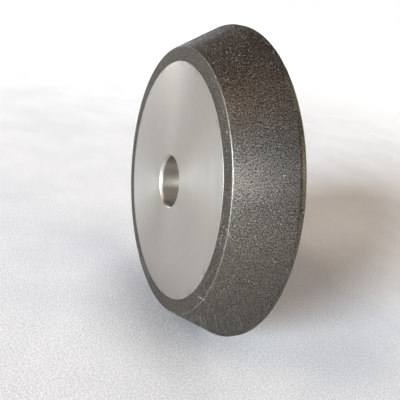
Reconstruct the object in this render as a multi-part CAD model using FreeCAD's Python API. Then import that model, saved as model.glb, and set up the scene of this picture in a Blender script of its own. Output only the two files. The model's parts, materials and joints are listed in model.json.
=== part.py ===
import FreeCAD, Part
import math
import os

# Single-layer electroplated diamond grinding wheel with one 30 degree bevelled rim.
#
# Row frame: millimetres, +Z up, the wheel turns about +Y. The origin is on the bore axis,
# midway between the two clamping faces. The small, plated end faces -Y.
#
# A steel core carries a continuous nickel deposit on the outer part of its front face, the nose,
# the bevel and the land. One layer of diamond grains is held in the nickel, and stands out of it.

# Driving dimensions
WHEEL_D = 125.0
WHEEL_T = 20.0
BORE_D = 20.0
BEVEL_ANGLE = 30.0        # from the wheel axis
LAND_WIDTH = 2.0          # cylindrical land behind the bevel
FRONT_BAND_WIDTH = 5.5    # plated ring on the front face, measured to the sharp corner
NOSE_R = 0.8              # round between the front band and the bevel
NOSE_SPANS = 3            # equal arcs that the round is made of
BORE_LEAD_DEPTH = 1.2     # lead-in at each end of the bore
BORE_LEAD_ANGLE = 30.0    # from the bore axis
BACK_EDGE_CHAMFER = 0.15  # broken edge behind the land
NICKEL_T = 0.20           # nickel deposit over the core
GRAIN_PROUD = 0.12        # height of the grain tips above the nickel

# Derived dimensions
FRONT_Y = -WHEEL_T / 2
BACK_Y = WHEEL_T / 2
RIM_R = WHEEL_D / 2
BORE_R = BORE_D / 2
BEVEL = math.radians(BEVEL_ANGLE)
NOSE_SWEEP = math.pi / 2 - BEVEL
LAND_FRONT_Y = BACK_Y - LAND_WIDTH
CORNER_R = RIM_R - (LAND_FRONT_Y - FRONT_Y) * math.tan(BEVEL)
DISC_R = CORNER_R - FRONT_BAND_WIDTH
BORE_MOUTH_R = BORE_R + BORE_LEAD_DEPTH * math.tan(math.radians(BORE_LEAD_ANGLE))
COATING_T = NICKEL_T + GRAIN_PROUD


def point(radius, y):
    """A point of the half section, in the plane where X is the radius."""
    return FreeCAD.Vector(radius, y, 0)


def line(start, end):
    return Part.LineSegment(start, end).toShape()


class RimProfile:
    """The outline of the rim, a given depth below the grain tips, split at its four faces."""

    def __init__(self, depth):
        # Each face moves inwards square to itself.
        face_y = FRONT_Y + depth
        bevel_shift = depth / math.cos(BEVEL)
        corner_r = CORNER_R - bevel_shift + depth * math.tan(BEVEL)
        knee_y = LAND_FRONT_Y + (bevel_shift - depth) / math.tan(BEVEL)
        self.land_r = RIM_R - depth
        self.disc_edge = point(DISC_R, face_y)
        self.knee = point(self.land_r, knee_y)
        self.land_end = point(self.land_r, BACK_Y - BACK_EDGE_CHAMFER)
        # The nose stays tangent to the front band and to the bevel.
        self.nose_r = NOSE_R - depth
        self.nose_centre = point(
            corner_r - self.nose_r * math.tan(NOSE_SWEEP / 2),
            face_y + self.nose_r,
        )

    def nose_point(self, angle):
        """The nose's point where its surface has turned by this angle from the front band."""
        return self.nose_centre + point(
            self.nose_r * math.sin(angle),
            -self.nose_r * math.cos(angle),
        )

    def front_band(self):
        return [line(self.disc_edge, self.nose_point(0))]

    def nose(self):
        span = NOSE_SWEEP / NOSE_SPANS
        starts = [index * span for index in range(NOSE_SPANS)]
        arcs = [
            Part.Arc(
                self.nose_point(start),
                self.nose_point(start + span / 2),
                self.nose_point(start + span),
            )
            for start in starts
        ]
        return [arc.toShape() for arc in arcs]

    def bevel(self):
        return [line(self.nose_point(NOSE_SWEEP), self.knee)]

    def land(self):
        return [line(self.knee, self.land_end)]

    def whole(self):
        return self.front_band() + self.nose() + self.bevel() + self.land()


def revolve(edges):
    """A solid of revolution about the wheel axis, from the edges of a closed half section."""
    wire = Part.Wire(Part.__sortEdges__(edges))
    axis_point = FreeCAD.Vector(0, 0, 0)
    axis = FreeCAD.Vector(0, 1, 0)
    return Part.Solid(Part.Face(wire).revolve(axis_point, axis, 360))


def ends(edges):
    """The first and last point of a chain of edges that runs from the disc to the back."""
    return edges[0].firstVertex().Point, edges[-1].lastVertex().Point


def layer(outer, inner):
    """A thin ring between two chains of edges, closed by a straight edge at each end."""
    outer_start, outer_end = ends(outer)
    inner_start, inner_end = ends(inner)
    return revolve(outer + inner + [line(outer_start, inner_start), line(outer_end, inner_end)])


def steel_core(seat):
    """The turned core: bore with a lead-in at each end, flat faces, and the seat of the coating."""
    bore_front = point(BORE_R, FRONT_Y + BORE_LEAD_DEPTH)
    bore_back = point(BORE_R, BACK_Y - BORE_LEAD_DEPTH)
    mouth_front = point(BORE_MOUTH_R, FRONT_Y)
    mouth_back = point(BORE_MOUTH_R, BACK_Y)
    disc_edge = point(DISC_R, FRONT_Y)
    back_edge = point(seat.land_r - BACK_EDGE_CHAMFER, BACK_Y)
    outline = [
        seat.land_end,
        back_edge,
        mouth_back,
        bore_back,
        bore_front,
        mouth_front,
        disc_edge,
        seat.disc_edge,
    ]
    straight = [line(a, b) for a, b in zip(outline, outline[1:])]
    return revolve(straight + seat.whole())


os.makedirs("parts", exist_ok=True)

seat = RimProfile(COATING_T)
nickel = RimProfile(GRAIN_PROUD)
tips = RimProfile(0.0)

parts = {
    "steel_core": steel_core(seat),
    "nickel_bond": layer(nickel.whole(), seat.whole()),
    "diamond_grit_front_band": layer(tips.front_band(), nickel.front_band()),
    "diamond_grit_nose": layer(tips.nose(), nickel.nose()),
    "diamond_grit_bevel": layer(tips.bevel(), nickel.bevel()),
    "diamond_grit_land": layer(tips.land(), nickel.land()),
}

for name, shape in parts.items():
    box = shape.BoundBox
    print(
        f"{name}: valid {shape.isValid()}, {shape.Volume:.1f} mm3,"
        f" Y {box.YMin:.3f} to {box.YMax:.3f}, radius {box.XMax:.3f}"
    )
    shape.exportStep(f"parts/{name}.step")
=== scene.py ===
import json
import math

import bmesh
import bpy
import numpy as np
from mathutils import Matrix, Vector


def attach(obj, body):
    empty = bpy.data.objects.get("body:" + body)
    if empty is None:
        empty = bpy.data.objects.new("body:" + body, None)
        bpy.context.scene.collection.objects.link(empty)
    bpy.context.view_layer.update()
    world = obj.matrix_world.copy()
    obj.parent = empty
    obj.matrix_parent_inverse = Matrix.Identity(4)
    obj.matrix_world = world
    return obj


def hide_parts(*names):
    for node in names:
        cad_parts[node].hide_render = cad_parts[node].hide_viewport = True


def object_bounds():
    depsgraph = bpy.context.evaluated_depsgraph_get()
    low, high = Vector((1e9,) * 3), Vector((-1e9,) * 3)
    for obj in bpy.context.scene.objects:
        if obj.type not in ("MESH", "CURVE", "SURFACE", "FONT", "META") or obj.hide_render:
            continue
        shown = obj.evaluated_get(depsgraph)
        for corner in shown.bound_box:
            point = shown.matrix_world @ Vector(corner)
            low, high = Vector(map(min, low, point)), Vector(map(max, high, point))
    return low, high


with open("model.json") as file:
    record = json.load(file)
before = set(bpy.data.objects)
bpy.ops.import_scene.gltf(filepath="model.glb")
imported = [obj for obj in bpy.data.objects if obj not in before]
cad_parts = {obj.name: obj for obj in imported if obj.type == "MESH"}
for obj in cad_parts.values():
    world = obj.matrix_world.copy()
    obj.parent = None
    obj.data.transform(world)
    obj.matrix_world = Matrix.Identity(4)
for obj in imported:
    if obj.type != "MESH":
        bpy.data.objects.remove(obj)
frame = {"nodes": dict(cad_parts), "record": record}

# Electroplated diamond grinding wheel: a turned steel core, a nickel bond and single diamond grains.
# The wheel turns about +Y, its small plated end faces -Y, and every length here is in metres.

MM = 0.001               # one millimetre, in metres
CAD_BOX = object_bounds()

# ---------------------------------------------------------------------------------------------
# Sizes of the wheel, read from the CAD nodes
# ---------------------------------------------------------------------------------------------


def reach(node):
    """The least and greatest radius of a CAD node, and its front and back end along the axis."""
    mesh = frame["nodes"][node].data
    points = np.empty(3 * len(mesh.vertices), np.float32)
    mesh.vertices.foreach_get("co", points)
    points = points.reshape(-1, 3).astype(float)
    radii = np.hypot(points[:, 0], points[:, 2])
    return tuple(map(float, (radii.min(), radii.max(), points[:, 1].min(), points[:, 1].max())))


BORE = next(mount for mount in frame["record"]["mounts"] if mount["name"] == "bore")
BORE_R = BORE["dims"]["r_mm"] * MM
LEAD_HALF_SPAN = BORE["dims"]["length_mm"] * MM / 2
_, CORE_R, FRONT_Y, BACK_Y = reach("steel_core")
DISC_R, BAND_R, _, NICKEL_Y = reach("diamond_grit_front_band")
_, NOSE_END_R, _, _ = reach("diamond_grit_nose")
_, RIM_R, NOSE_END_Y, _ = reach("diamond_grit_bevel")
_, _, KNEE_Y, LAND_END_Y = reach("diamond_grit_land")
GRAIN_PROUD = NICKEL_Y - FRONT_Y
COATING_T = RIM_R - CORE_R
BEVEL = math.atan((RIM_R - NOSE_END_R) / (KNEE_Y - NOSE_END_Y))
LEAD_DEPTH = BACK_Y - LEAD_HALF_SPAN
LEAD_ANGLE = math.radians(30)     # of each lead-in, from the bore's axis
MOUTH_R = BORE_R + LEAD_DEPTH * math.tan(LEAD_ANGLE)
CORNER_R = RIM_R - (KNEE_Y - FRONT_Y) * math.tan(BEVEL)
NOSE_SWEEP = math.pi / 2 - BEVEL
NOSE_R = (CORNER_R - BAND_R) / math.tan(NOSE_SWEEP / 2)


# ---------------------------------------------------------------------------------------------
# Mesh helpers
# ---------------------------------------------------------------------------------------------


def add_piece(name, points, faces, node, material, sharp_angle=None):
    """A mesh object that stands for a CAD node, rides on the wheel and has one material."""
    mesh = bpy.data.meshes.new(name)
    mesh.from_pydata(points, [], faces)
    mesh.update()
    if sharp_angle is not None:
        mesh.polygons.foreach_set("use_smooth", [True] * len(mesh.polygons))
        mesh.set_sharp_from_angle(angle=sharp_angle)
    mesh.materials.append(material)
    piece = bpy.data.objects.new(name, mesh)
    bpy.context.scene.collection.objects.link(piece)
    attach(piece, "root")
    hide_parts(node)
    return piece


MOST_OF_SIDE = 0.4       # the most of a side that one rounded corner takes up


def rounded(outline, cut, steps=4):
    """A closed (radius, y) outline, with every corner cut back by this length and curved."""
    count = len(outline)
    result = []
    for index in range(count):
        corner = Vector(outline[index])
        before = Vector(outline[index - 1]) - corner
        after = Vector(outline[(index + 1) % count]) - corner
        reach_back = min(cut, before.length * MOST_OF_SIDE, after.length * MOST_OF_SIDE)
        start = corner + before.normalized() * reach_back
        end = corner + after.normalized() * reach_back
        for step in range(steps + 1):
            t = step / steps
            result.append(start * (1 - t) ** 2 + corner * (2 * t * (1 - t)) + end * t**2)
    return result


def lathe(outline, segments):
    """Points and quads of a closed (radius, y) outline turned about the Y axis."""
    section = np.array([tuple(point) for point in outline])
    turn = np.linspace(0, 2 * math.pi, segments, endpoint=False)
    points = np.stack(
        [
            np.outer(np.cos(turn), section[:, 0]),
            np.broadcast_to(section[:, 1], (segments, len(section))),
            np.outer(np.sin(turn), section[:, 0]),
        ],
        axis=-1,
    )
    ring = np.arange(segments)[:, None] * len(section)
    next_ring = np.roll(np.arange(segments), -1)[:, None] * len(section)
    here = np.arange(len(section))[None, :]
    there = np.roll(np.arange(len(section)), -1)[None, :]
    quads = np.stack([ring + here, ring + there, next_ring + there, next_ring + here], axis=-1)
    return points.reshape(-1, 3), quads.reshape(-1, 4)


# ---------------------------------------------------------------------------------------------
# Rim outline: the front band, the nose, the bevel and the land, a given depth below the tips
# ---------------------------------------------------------------------------------------------


def rim_outline(depth, nose_steps=8):
    """The rim's faces as lists of (radius, y), from the disc to the back."""
    face_y = FRONT_Y + depth
    shift = depth / math.cos(BEVEL)
    corner_r = CORNER_R - shift + depth * math.tan(BEVEL)
    knee_y = KNEE_Y + (shift - depth) / math.tan(BEVEL)
    nose_r = NOSE_R - depth
    centre = Vector((corner_r - nose_r * math.tan(NOSE_SWEEP / 2), face_y + nose_r))
    angles = [NOSE_SWEEP * step / nose_steps for step in range(nose_steps + 1)]
    nose = [centre + nose_r * Vector((math.sin(a), -math.cos(a))) for a in angles]
    knee = Vector((RIM_R - depth, knee_y))
    return {
        "front_band": [Vector((DISC_R, face_y)), nose[0]],
        "nose": nose,
        "bevel": [nose[-1], knee],
        "land": [knee, Vector((RIM_R - depth, LAND_END_Y))],
    }


def whole_rim(depth):
    """The four faces of the rim as one line of (radius, y), from the disc to the back."""
    rim = rim_outline(depth)
    return [rim["front_band"][0]] + rim["nose"] + rim["land"]


# ---------------------------------------------------------------------------------------------
# Materials
# ---------------------------------------------------------------------------------------------


def new_material(name):
    """A material with its nodes, its links and its shader."""
    material = bpy.data.materials.new(name)
    material.use_nodes = True
    nodes = material.node_tree.nodes
    links = material.node_tree.links
    return material, nodes, links, nodes["Principled BSDF"]


def connect(links, source, socket):
    """Links a socket to another one, or sets it to a plain value."""
    if isinstance(source, bpy.types.NodeSocket):
        links.new(source, socket)
    else:
        socket.default_value = source


def object_position(nodes):
    return nodes.new("ShaderNodeTexCoord").outputs["Object"]


def along_axis(nodes, links, position):
    """How far a point is along the wheel's axis."""
    split = nodes.new("ShaderNodeSeparateXYZ")
    links.new(position, split.inputs[0])
    return split.outputs["Y"]


def math_node(nodes, links, operation, *sources):
    node = nodes.new("ShaderNodeMath")
    node.operation = operation
    for source, socket in zip(sources, node.inputs):
        connect(links, source, socket)
    return node.outputs["Value"]


def vector_node(nodes, links, operation, *sources):
    node = nodes.new("ShaderNodeVectorMath")
    node.operation = operation
    for source, socket in zip(sources, node.inputs):
        connect(links, source, socket)
    return node.outputs["Value" if operation == "LENGTH" else "Vector"]


def noise(nodes, links, vector, scale, detail=2.0, roughness=0.5):
    node = nodes.new("ShaderNodeTexNoise")
    node.inputs["Scale"].default_value = scale
    node.inputs["Detail"].default_value = detail
    node.inputs["Roughness"].default_value = roughness
    links.new(vector, node.inputs["Vector"])
    return node.outputs["Fac"]


def remap(nodes, links, value, from_min, from_max, to_min, to_max):
    node = nodes.new("ShaderNodeMapRange")
    node.inputs["From Min"].default_value = from_min
    node.inputs["From Max"].default_value = from_max
    node.inputs["To Min"].default_value = to_min
    node.inputs["To Max"].default_value = to_max
    links.new(value, node.inputs["Value"])
    return node.outputs["Result"]


def ramp(nodes, links, value, *stops):
    """A colour ramp through (position, colour) stops."""
    node = nodes.new("ShaderNodeValToRGB")
    elements = node.color_ramp.elements
    while len(elements) < len(stops):
        elements.new(0.5)
    for element, (position, colour) in zip(elements, stops):
        element.position = position
        element.color = (*colour, 1)
    links.new(value, node.inputs["Fac"])
    return node.outputs["Color"]


def blend_colours(nodes, links, mode, factor, first, second):
    node = nodes.new("ShaderNodeMix")
    node.data_type = "RGBA"
    node.blend_type = mode
    # the sockets of a colour mix: its factor, A and B, and its result
    connect(links, factor, node.inputs[0])
    connect(links, first, node.inputs[6])
    connect(links, second, node.inputs[7])
    return node.outputs[2]


def bump(nodes, links, height, distance, strength):
    node = nodes.new("ShaderNodeBump")
    node.inputs["Distance"].default_value = distance
    node.inputs["Strength"].default_value = strength
    links.new(height, node.inputs["Height"])
    return node.outputs["Normal"]


KNEE_SHARE = (KNEE_Y - NOSE_END_Y) / (BACK_Y - NOSE_END_Y)


def along_rim(nodes, links, position):
    """How far a point of the rim is from the nose, 0, to the back face, 1, along the axis."""
    return remap(nodes, links, along_axis(nodes, links, position), NOSE_END_Y, BACK_Y, 0.0, 1.0)


def painted_rim_sheen(nodes, links, share):
    """Painted highlight and shade: the coating's colour is made brighter by the nose and at the back
    edge than at the knee.
    """
    return ramp(
        nodes, links, share,
        (0.0, (1.0, 1.0, 1.0)),
        (KNEE_SHARE, (0.74, 0.74, 0.74)),
        (1.0, (0.95, 0.95, 0.95)),
    )


STEEL_ROUGHNESS = 0.34
STEEL_ANISOTROPY = 0.7
RING_SCALE = 900.0       # turning marks in a metre of feed
RING_CHANGE = 1.6        # how much a mark changes on its way round
CLOUD_SCALE = 38.0       # soft blotches in a metre
STAIN_SCALE = 160.0      # stains in a metre
STAIN_START = 2.2 * MM   # how far the stains reach in from the coating
STAIN_FULL = 0.3 * MM    # how near to the coating they are strongest
STAIN_COLOUR = (0.27, 0.235, 0.20, 1)
GLOSS_TURN = 0.25        # turn of the stretched gloss on the faces and in the bore


def turned_steel():
    """Fine-turned bright steel: rings round the axis, soft blotches, and stains by the plating."""
    material, nodes, links, shader = new_material("turned_steel")
    shader.inputs["Metallic"].default_value = 1.0
    shader.inputs["Anisotropic"].default_value = STEEL_ANISOTROPY
    tangent = nodes.new("ShaderNodeTangent")
    tangent.direction_type = "RADIAL"
    tangent.axis = "Y"
    links.new(tangent.outputs["Tangent"], shader.inputs["Tangent"])
    position = object_position(nodes)
    axial = along_axis(nodes, links, position)
    across = vector_node(nodes, links, "MULTIPLY", position, (1, 0, 1))
    radius = vector_node(nodes, links, "LENGTH", across)
    outward = vector_node(nodes, links, "NORMALIZE", across)

    # turning marks follow the tool: along the radius on the faces, along the axis in the bore
    feed = math_node(nodes, links, "ADD", radius, axial)
    along = nodes.new("ShaderNodeCombineXYZ")
    links.new(math_node(nodes, links, "MULTIPLY", feed, RING_SCALE), along.inputs["Y"])
    rings = vector_node(
        nodes, links, "MULTIPLY_ADD", outward, (RING_CHANGE,) * 3, along.outputs["Vector"]
    )
    marks = noise(nodes, links, rings, 1.0, 5.0, 0.65)
    cloud = noise(nodes, links, position, CLOUD_SCALE, 3.0)

    gloss = remap(nodes, links, marks, 0.3, 0.7, STEEL_ROUGHNESS - 0.03, STEEL_ROUGHNESS + 0.03)
    gloss = math_node(nodes, links, "ADD", gloss, remap(nodes, links, cloud, 0.3, 0.7, -0.02, 0.03))
    links.new(gloss, shader.inputs["Roughness"])
    # the scratches run round the axis, and across the two lead-ins, which chattered
    inner = remap(nodes, links, radius, BORE_R, BORE_R + 0.1 * MM, 0.0, GLOSS_TURN)
    outer = remap(nodes, links, radius, MOUTH_R, MOUTH_R + 0.05 * MM, GLOSS_TURN, 0.0)
    lead_in = math_node(nodes, links, "MINIMUM", inner, outer)
    direction = math_node(nodes, links, "SUBTRACT", GLOSS_TURN, lead_in)
    links.new(direction, shader.inputs["Anisotropic Rotation"])

    bright = ramp(nodes, links, marks, (0.25, (0.505, 0.483, 0.45)), (0.75, (0.565, 0.542, 0.505)))
    tint = ramp(nodes, links, cloud, (0.3, (0.95, 0.955, 0.96)), (0.7, (1.0, 0.99, 0.97)))
    colour = blend_colours(nodes, links, "MULTIPLY", 1.0, bright, tint)
    # plating residue along the edge of the coating, at the disc in front and at the rim behind
    limit = remap(nodes, links, axial, FRONT_Y, BACK_Y, DISC_R, CORE_R)
    inside = math_node(nodes, links, "SUBTRACT", radius, limit)
    edge = remap(nodes, links, inside, -STAIN_START, -STAIN_FULL, 0.0, 1.0)
    patches = noise(nodes, links, position, STAIN_SCALE, 4.0, 0.6)
    patches = remap(nodes, links, patches, 0.50, 0.62, 0.0, 0.5)
    stain = math_node(nodes, links, "MULTIPLY", edge, patches)
    colour = blend_colours(nodes, links, "MIX", stain, colour, STAIN_COLOUR)
    links.new(colour, shader.inputs["Base Color"])
    links.new(bump(nodes, links, marks, 0.004 * MM, 0.6), shader.inputs["Normal"])
    return material


SPOT_SCALE = 2500.0      # grainy spots in a metre of nickel


def nickel_plating():
    """Matt dark nickel, rubbed bright where the wheel's nose has been handled."""
    material, nodes, links, shader = new_material("nickel_plating")
    shader.inputs["Metallic"].default_value = 1.0
    position = object_position(nodes)
    burnish = nodes.new("ShaderNodeAttribute")
    burnish.attribute_name = "burnish"
    spots = noise(nodes, links, position, SPOT_SCALE, 2.0)
    matt = ramp(nodes, links, spots, (0.3, (0.15, 0.134, 0.115)), (0.7, (0.28, 0.250, 0.214)))
    rubbed = ramp(nodes, links, spots, (0.3, (0.18, 0.172, 0.158)), (0.7, (0.31, 0.30, 0.278)))
    colour = blend_colours(nodes, links, "MIX", burnish.outputs["Fac"], matt, rubbed)
    # painted highlight and shade along the rim: brighter by the nose and the back edge than at the
    # knee
    painted_sheen = painted_rim_sheen(nodes, links, along_rim(nodes, links, position))
    colour = blend_colours(nodes, links, "MULTIPLY", 1.0, colour, painted_sheen)
    links.new(colour, shader.inputs["Base Color"])
    gloss = remap(nodes, links, burnish.outputs["Fac"], 0, 1, 0.34, 0.60)
    links.new(gloss, shader.inputs["Roughness"])
    links.new(bump(nodes, links, spots, 0.02 * MM, 0.15), shader.inputs["Normal"])
    return material


def diamond_grit():
    """Diamond grains: each one has its own tone, from near black to pale, and its own gloss."""
    material, nodes, links, shader = new_material("diamond_grit")
    shader.inputs["Metallic"].default_value = 1.0
    tones = nodes.new("ShaderNodeAttribute")
    tones.attribute_name = "tone"
    grain = tones.outputs["Fac"]
    tone = ramp(
        nodes, links, grain,
        (0.0, (0.010, 0.009, 0.008)),
        (0.42, (0.022, 0.020, 0.017)),
        (0.58, (0.180, 0.161, 0.136)),
        (1.0, (0.37, 0.34, 0.30)),
    )
    share = along_rim(nodes, links, object_position(nodes))
    # painted highlight and shade along the rim: brighter by the nose and the back edge than at the
    # knee
    tone = blend_colours(nodes, links, "MULTIPLY", 1.0, tone, painted_rim_sheen(nodes, links, share))
    links.new(tone, shader.inputs["Base Color"])
    # the pale grains are the smooth ones, and the rubbed grains by the nose are the smoothest
    gloss = remap(nodes, links, share, 0.0, 1.0, 0.38, 0.50)
    gloss = math_node(nodes, links, "ADD", gloss, remap(nodes, links, grain, 0, 1, 0.05, -0.01))
    links.new(gloss, shader.inputs["Roughness"])
    return material


# ---------------------------------------------------------------------------------------------
# Core and nickel
# ---------------------------------------------------------------------------------------------

CORE_SEGMENTS = 720
CORE_SHARP = math.radians(20)  # an edge that turns by more than this is shaded sharp
EDGE_BREAK = 0.12 * MM         # how far the core's edges are rounded back
BACK_CHAMFER = 0.15 * MM       # broken edge behind the land


def build_core(material):
    """The turned core, with its lead-ins, its broken edges and the seat of the coating."""
    seat = whole_rim(COATING_T)
    outline = [
        Vector((CORE_R - BACK_CHAMFER, BACK_Y)),
        Vector((MOUTH_R, BACK_Y)),
        Vector((BORE_R, BACK_Y - LEAD_DEPTH)),
        Vector((BORE_R, FRONT_Y + LEAD_DEPTH)),
        Vector((MOUTH_R, FRONT_Y)),
        Vector((DISC_R, FRONT_Y)),
    ]
    points, quads = lathe(rounded(outline + seat, EDGE_BREAK), CORE_SEGMENTS)
    return add_piece(
        "turned_core", points, quads, "steel_core", material, CORE_SHARP
    )


NICKEL_SEGMENTS = 1080
NICKEL_SHARP = math.radians(60)
NICKEL_STEP = 0.4 * MM
NICKEL_RELIEF = 0.006 * MM     # unevenness of the deposit's skin
NICKEL_SEED = 3
BURNISH_PEAK = 1.2             # more than 1, so that a strip along the nose is all rubbed
BURNISH_FALL = 0.22 * MM       # distance over which the rubbing falls by 1


def divided(path, step):
    """The same outline with points added, so that no two are further apart than the step."""
    result = [path[0]]
    for start, end in zip(path, path[1:]):
        spans = math.ceil((end - start).length / step)
        result += [start.lerp(end, span / spans) for span in range(1, spans + 1)]
    return result


def build_nickel(material):
    """The nickel deposit, with a "burnish" attribute from 0, matt, to 1, rubbed bright."""
    outer = divided(whole_rim(GRAIN_PROUD), NICKEL_STEP)
    inner = whole_rim(COATING_T)[::-1]
    points, quads = lathe(outer + inner, NICKEL_SEGMENTS)
    # the deposit's skin is slightly uneven between the grains
    random = np.random.default_rng(NICKEL_SEED)
    rings = points.reshape(NICKEL_SEGMENTS, -1, 3)
    relief = random.uniform(-0.5, 0.5, (NICKEL_SEGMENTS, len(outer) - 2, 3)) * NICKEL_RELIEF
    rings[:, 1 : len(outer) - 1] += relief
    piece = add_piece(
        "nickel_deposit", points, quads, "nickel_bond", material, NICKEL_SHARP
    )
    nose = rim_outline(GRAIN_PROUD)["nose"]
    middle = nose[len(nose) // 2]
    away = np.array([(point - middle).length for point in outer + inner])
    outside = np.arange(len(away)) < len(outer)
    burnish = np.clip(BURNISH_PEAK - away / BURNISH_FALL, 0, 1) * outside
    layer = piece.data.attributes.new("burnish", "FLOAT", "POINT")
    layer.data.foreach_set("value", np.tile(burnish, NICKEL_SEGMENTS).astype(np.float32))
    return piece


# ---------------------------------------------------------------------------------------------
# Diamond grains
# ---------------------------------------------------------------------------------------------

GRIT_SEED = 7
GRAIN_PITCH = 0.37 * MM        # distance between grains of full size
GRAIN_R = 0.162 * MM           # radius of a grain of full size
GRAIN_SPREAD = (0.72, 1.12)    # radius of a grain, in times the usual one
PLACE_JITTER = 0.33            # the most that a grain is off its place, in pitches
END_MARGIN = 0.1               # how near its middle may be to the end of its face, in pitches
TIP_CUT = (0.3, 0.7)           # height of the tips over the grain's middle, in radii
TIP_LEAN = 0.10                # how far the facet at the tip leans, about the angle in radians
BURIED = 0.25                  # depth in the nickel from which no face is made, in radii
CRYSTALS = 24                  # how many different crystals the grains are copies of
CRYSTAL_CORNERS = 9
CRYSTAL_SPREAD = (0.88, 1.12)  # distance from a crystal's middle to its corners, in radii
PUSH = 0.12                    # how hard the corners of a crystal push each other apart
PUSH_ROUNDS = 12
# size of the grains on each rim face, the share of the sites that hold a grain, and how many
# pieces the face is split into
GRAIN_FACES = {
    "front_band": {"size": 0.9, "filled": 1.0, "pieces": 2},
    "nose": {"size": 0.75, "filled": 0.5, "pieces": 1},
    "bevel": {"size": 1.0, "filled": 1.0, "pieces": 5},
    "land": {"size": 1.0, "filled": 1.0, "pieces": 1},
}


def unit_rows(vectors):
    """The same vectors, one in each row, with a length of 1."""
    return vectors / np.linalg.norm(vectors, axis=1)[:, None]


def grain_templates(random):
    """Blocky crystals of unit size: hulls of points spread over a sphere."""
    templates = []
    for _ in range(CRYSTALS):
        directions = unit_rows(random.normal(size=(CRYSTAL_CORNERS, 3)))
        # pushes the points apart, so that no crystal is a sliver
        for _ in range(PUSH_ROUNDS):
            gap = directions[:, None] - directions[None]
            distance = np.linalg.norm(gap, axis=2) + np.eye(CRYSTAL_CORNERS)
            directions += PUSH * (gap / distance[..., None] ** 3).sum(axis=1)
            directions = unit_rows(directions)
        form = bmesh.new()
        for direction in directions:
            form.verts.new(direction * random.uniform(*CRYSTAL_SPREAD))
        bmesh.ops.convex_hull(form, input=form.verts)
        bmesh.ops.triangulate(form, faces=form.faces)
        form.verts.index_update()
        points = np.array([vertex.co[:] for vertex in form.verts])
        triangles = np.array([[vertex.index for vertex in face.verts] for face in form.faces])
        form.free()
        templates.append((points, triangles))
    return templates


def random_turns(random, count):
    """Rotation matrices spread evenly over all turns."""
    w, x, y, z = unit_rows(random.normal(size=(count, 4))).T
    rows = [
        [1 - 2 * (y * y + z * z), 2 * (x * y - z * w), 2 * (x * z + y * w)],
        [2 * (x * y + z * w), 1 - 2 * (x * x + z * z), 2 * (y * z - x * w)],
        [2 * (x * z - y * w), 2 * (y * z + x * w), 1 - 2 * (x * x + y * y)],
    ]
    return np.array(rows).transpose(2, 0, 1)


def grain_tones(counts, random):
    """A tone from 0 to 1 for each grain of each row, set so that neighbours tend to differ."""
    rows = [random.uniform(size=count) for count in counts]
    tones = []
    for index, row in enumerate(rows):
        place = np.arange(len(row)) / len(row)
        around = np.roll(row, 1) + np.roll(row, -1)
        for other in (rows[index - 1], rows[(index + 1) % len(rows)]):
            around += np.interp(place, np.arange(len(other)) / len(other), other, period=1)
        tones.append(row - around / 4)
    tones = np.concatenate(tones)
    return tones.argsort().argsort() / len(tones)


def grain_sites(path, random, pitch):
    """The grains of a rim face: radius, y, turn about the axis, outward normal and tone."""
    corners = np.array([tuple(point) for point in path])
    lengths = np.hypot(*np.diff(corners, axis=0).T)
    travelled = np.concatenate([[0], np.cumsum(lengths)])
    rows = max(1, round(travelled[-1] / (pitch * math.sqrt(3) / 2)))
    sites = []
    for row in range(rows):
        middle = travelled[-1] * (row + 0.5) / rows
        radius = np.interp(middle, travelled, corners[:, 0])
        columns = round(2 * math.pi * radius / pitch)
        along = middle + random.uniform(-PLACE_JITTER, PLACE_JITTER, columns) * pitch
        along = np.clip(along, pitch * END_MARGIN, travelled[-1] - pitch * END_MARGIN)
        # every other row is half a place round, as in a honeycomb
        turn = np.arange(columns) + 0.5 * (row % 2)
        turn += random.uniform(-PLACE_JITTER, PLACE_JITTER, columns)
        turn *= 2 * math.pi / columns
        part = np.clip(np.searchsorted(travelled, along) - 1, 0, len(lengths) - 1)
        direction = np.diff(corners, axis=0)[part] / lengths[part][:, None]
        sites.append(
            np.stack(
                [
                    np.interp(along, travelled, corners[:, 0]),
                    np.interp(along, travelled, corners[:, 1]),
                    turn,
                    direction[:, 1],
                    -direction[:, 0],
                ],
                axis=1,
            )
        )
    tones = grain_tones([len(row) for row in sites], random)
    return np.column_stack([np.concatenate(sites), tones])


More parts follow.
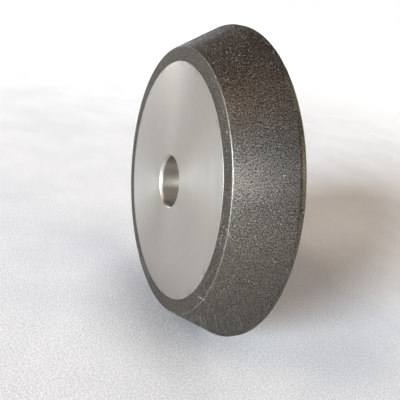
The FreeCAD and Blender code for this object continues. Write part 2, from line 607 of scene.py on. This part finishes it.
def grain_mesh(sites, templates, random, size):
    """Points, triangles and tones of the grains, without the faces that are deep in the nickel."""
    count = len(sites)
    radius, y, turn, normal_r, normal_y, tone = sites.T
    normal = np.stack([normal_r * np.cos(turn), normal_y, normal_r * np.sin(turn)], axis=1)
    base = np.stack([radius * np.cos(turn), y, radius * np.sin(turn)], axis=1)
    scale = size * random.uniform(*GRAIN_SPREAD, count)
    height = GRAIN_PROUD - scale * random.uniform(*TIP_CUT, count)
    centre = base + normal * height[:, None]
    top = unit_rows(normal + random.normal(scale=TIP_LEAN, size=(count, 3)))
    top_height = GRAIN_PROUD - height - 0.5 * TIP_LEAN * scale
    kind = random.integers(0, len(templates), count)
    spin = random_turns(random, count)
    all_points = []
    all_triangles = []
    all_tones = []
    offset = 0
    for index, (form, triangles) in enumerate(templates):
        chosen = np.flatnonzero(kind == index)
        points = np.einsum("nij,vj->nvi", spin[chosen], form) * scale[chosen, None, None]
        lift = np.einsum("nvi,ni->nv", points, normal[chosen]) + height[chosen, None]
        shown = (lift[:, triangles] > -BURIED * size).any(axis=2)
        # each grain ends in a nearly level facet, and none stands higher than the tips
        flat = top[chosen][:, None, :]
        over = np.clip((points * flat).sum(axis=2) - top_height[chosen, None], 0, None)
        points = points - over[..., None] * flat
        lift = np.einsum("nvi,ni->nv", points, normal[chosen]) + height[chosen, None]
        over = np.clip(lift - GRAIN_PROUD, 0, None)
        points = points - over[..., None] * normal[chosen][:, None, :]
        points = points + centre[chosen][:, None, :]
        corner = np.arange(len(chosen))[:, None, None] * len(form) + triangles[None]
        all_points.append(points.reshape(-1, 3))
        all_triangles.append(corner[shown] + offset)
        all_tones.append(np.repeat(tone[chosen], len(form)))
        offset += len(chosen) * len(form)
    points = np.concatenate(all_points)
    triangles = np.concatenate(all_triangles)
    used = np.zeros(len(points), bool)
    used[triangles] = True
    renumber = np.cumsum(used) - 1
    return points[used], renumber[triangles], np.concatenate(all_tones)[used]


def build_grit(material):
    """The grains of every rim face, with a "tone" attribute from 0, black, to 1, pale."""
    random = np.random.default_rng(GRIT_SEED)
    templates = grain_templates(random)
    rim = rim_outline(GRAIN_PROUD)
    for face, look in GRAIN_FACES.items():
        size = GRAIN_R * look["size"]
        sites = grain_sites(rim[face], random, GRAIN_PITCH * look["size"])
        sites = sites[random.uniform(size=len(sites)) < look["filled"]]
        count = look["pieces"]
        share = np.floor(sites[:, 2] / (2 * math.pi) * count).astype(int) % count
        for part in range(count):
            points, triangles, tones = grain_mesh(sites[share == part], templates, random, size)
            name = f"grains_{face}_{part + 1}" if count > 1 else f"grains_{face}"
            piece = add_piece(
                name, points, triangles, f"diamond_grit_{face}", material
            )
            layer = piece.data.attributes.new("tone", "FLOAT", "POINT")
            layer.data.foreach_set("value", tones.astype(np.float32))


# ---------------------------------------------------------------------------------------------
# Camera, floor and light
# ---------------------------------------------------------------------------------------------

VIEW_HEADING = math.radians(64.8)    # between the wheel's axis and the way the camera looks
VIEW_TILT = math.radians(27)         # how far the camera is raised round the wheel's axis
LENS = 42.54                         # focal length and sensor width in millimetres
SENSOR = 36.0
FACE_FROM_CAMERA = Vector((-12.52, 7.55, 189.66)) * MM   # right, up and ahead

TILT = Matrix.Rotation(-VIEW_TILT, 3, "Y")
AHEAD = TILT @ Vector((-math.sin(VIEW_HEADING), math.cos(VIEW_HEADING), 0))
RIGHT = TILT @ Vector((math.cos(VIEW_HEADING), math.sin(VIEW_HEADING), 0))
UP = RIGHT.cross(AHEAD)


def seen_from_camera(right, up, ahead):
    """A direction in the row frame, given as the camera sees it."""
    return RIGHT * right + UP * up + AHEAD * ahead


def add_camera():
    """The camera, placed by where the middle of the front face is in its view."""
    data = bpy.data.cameras.new("camera")
    data.lens = LENS
    data.sensor_width = SENSOR
    data.clip_start = 0.005
    data.clip_end = 50
    camera = bpy.data.objects.new("camera", data)
    bpy.context.scene.collection.objects.link(camera)
    axes = Matrix((RIGHT, UP, -AHEAD)).transposed().to_4x4()
    face_centre = Vector((0, FRONT_Y, 0))
    place = face_centre - seen_from_camera(*FACE_FROM_CAMERA)
    camera.matrix_world = Matrix.Translation(place) @ axes
    bpy.context.scene.camera = camera


def towards(azimuth, elevation):
    """A unit vector in the row frame: azimuth 0 is +X and 90 is +Y, in degrees."""
    turn, lift = math.radians(azimuth), math.radians(elevation)
    return Vector(
        (math.cos(turn) * math.cos(lift), math.sin(turn) * math.cos(lift), math.sin(lift))
    )


def add_soft_sun(name, azimuth, elevation, spread, strength, colour):
    """Light from one side of the room; spread is the angle the window fills, in degrees."""
    data = bpy.data.lights.new(name, "SUN")
    data.angle = math.radians(spread)
    data.energy = strength
    data.color = colour
    light = bpy.data.objects.new(name, data)
    bpy.context.scene.collection.objects.link(light)
    light.rotation_mode = "QUATERNION"
    light.rotation_quaternion = (-towards(azimuth, elevation)).to_track_quat("-Z", "Y")
    light.visible_camera = False


def add_lights():
    """Large soft lights all round the wheel, and a world that only the camera sees as white."""
    # azimuth, elevation and spread in degrees, then strength and colour
    add_soft_sun("window_front", 295, 18, 20, 5.9, (0.80, 0.915, 1.0))
    add_soft_sun("window_edge", 318, 17, 8, 0.45, (0.95, 0.98, 1.0))
    add_soft_sun("softbox_front", 265, 42, 28, 1.0, (1.0, 0.86, 0.66))
    add_soft_sun("wall_far_left", 185, 6, 18, 0.95, (0.88, 0.94, 1.0))
    add_soft_sun("wall_far", 162, 6, 26, 1.15, (0.88, 0.9, 1.0))
    add_soft_sun("top_back", 72, 66, 36, 0.36, (1.0, 0.92, 0.72))
    add_soft_sun("back_right", 45, 24, 28, 0.55, (1.0, 0.88, 0.65))
    add_soft_sun("warm_ceiling", 268, 66, 42, 0.12, (1.0, 0.40, 0.25))
    add_soft_sun("warm_wall", 176, 42, 30, 0.05, (1.0, 0.40, 0.28))
    world = bpy.data.worlds.new("studio")
    world.use_nodes = True
    nodes, links = world.node_tree.nodes, world.node_tree.links
    background = nodes["Background"]
    background.inputs["Color"].default_value = (1.0, 0.95, 0.9, 1)
    background.inputs["Strength"].default_value = 0.01
    seen = nodes.new("ShaderNodeBackground")
    seen.inputs["Color"].default_value = (1, 1, 1, 1)
    seen.inputs["Strength"].default_value = 1.0
    path = nodes.new("ShaderNodeLightPath")
    mix = nodes.new("ShaderNodeMixShader")
    links.new(path.outputs["Is Camera Ray"], mix.inputs[0])
    links.new(background.outputs[0], mix.inputs[1])
    links.new(seen.outputs[0], mix.inputs[2])
    links.new(mix.outputs[0], nodes["World Output"].inputs["Surface"])
    bpy.context.scene.world = world


FLOOR_HALF = 40.0        # from the middle of the floor to its sides
FLOOR_CLOUDS = 22.0      # soft clouds in a metre
FLOOR_FLECKS = 1300.0    # grey flecks in a metre
FLOOR_SPECKS = 1400.0    # white specks in a metre


def add_floor():
    """A pale sheet with fine flecks and soft clouds, and a painted shadow where the wheel stands on
    it.
    """
    material, nodes, links, shader = new_material("pale_floor")
    shader.inputs["Roughness"].default_value = 0.6
    position = object_position(nodes)
    distance = vector_node(nodes, links, "LENGTH", position)
    # painted shadow: the floor's colour is darkest under the wheel, lightens by about 45 mm and
    # pales slowly to white further out
    painted_contact_shadow = ramp(
        nodes, links, distance,
        (0.0, (0.42, 0.415, 0.43)),
        (0.020, (0.55, 0.545, 0.565)),
        (0.045, (0.85, 0.84, 0.865)),
        (0.12, (0.95, 0.94, 0.96)),
        (0.6, (1.0, 0.99, 1.0)),
    )
    clouds = ramp(
        nodes, links, noise(nodes, links, position, FLOOR_CLOUDS, 4.0, 0.6),
        (0.38, (0.92, 0.92, 0.935)),
        (0.60, (1.0, 0.995, 0.99)),
    )
    flecks = ramp(
        nodes, links, noise(nodes, links, position, FLOOR_FLECKS, 3.0, 0.9),
        (0.45, (0.72, 0.72, 0.725)),
        (0.53, (1.0, 1.0, 1.0)),
    )
    colour = blend_colours(nodes, links, "MULTIPLY", 1.0, painted_contact_shadow, clouds)
    colour = blend_colours(nodes, links, "MULTIPLY", 1.0, colour, flecks)
    specks = remap(
        nodes, links, noise(nodes, links, position, FLOOR_SPECKS, 2.0), 0.58, 0.70, 0.0, 0.55
    )
    colour = blend_colours(nodes, links, "MIX", specks, colour, (1, 1, 1, 1))
    links.new(colour, shader.inputs["Base Color"])
    # painted light: the floor glows more with distance from the wheel, so its far end runs out into
    # the white of the room
    glow = remap(nodes, links, distance, 0.25, 0.9, 0.0, 0.30)
    shader.inputs["Emission Color"].default_value = (1, 1, 1, 1)
    links.new(glow, shader.inputs["Emission Strength"])
    mesh = bpy.data.meshes.new("floor")
    square = ((-1, -1), (1, -1), (1, 1), (-1, 1))
    corners = [(FLOOR_HALF * x, FLOOR_HALF * y, 0) for x, y in square]
    mesh.from_pydata(corners, [], [(0, 1, 2, 3)])
    mesh.materials.append(material)
    floor = bpy.data.objects.new("floor", mesh)
    floor.location.z = CAD_BOX[0].z
    bpy.context.scene.collection.objects.link(floor)


add_camera()
add_lights()
add_floor()
build_core(turned_steel())
build_nickel(nickel_plating())
build_grit(diamond_grit())
bpy.context.scene.view_settings.view_transform = "Standard"
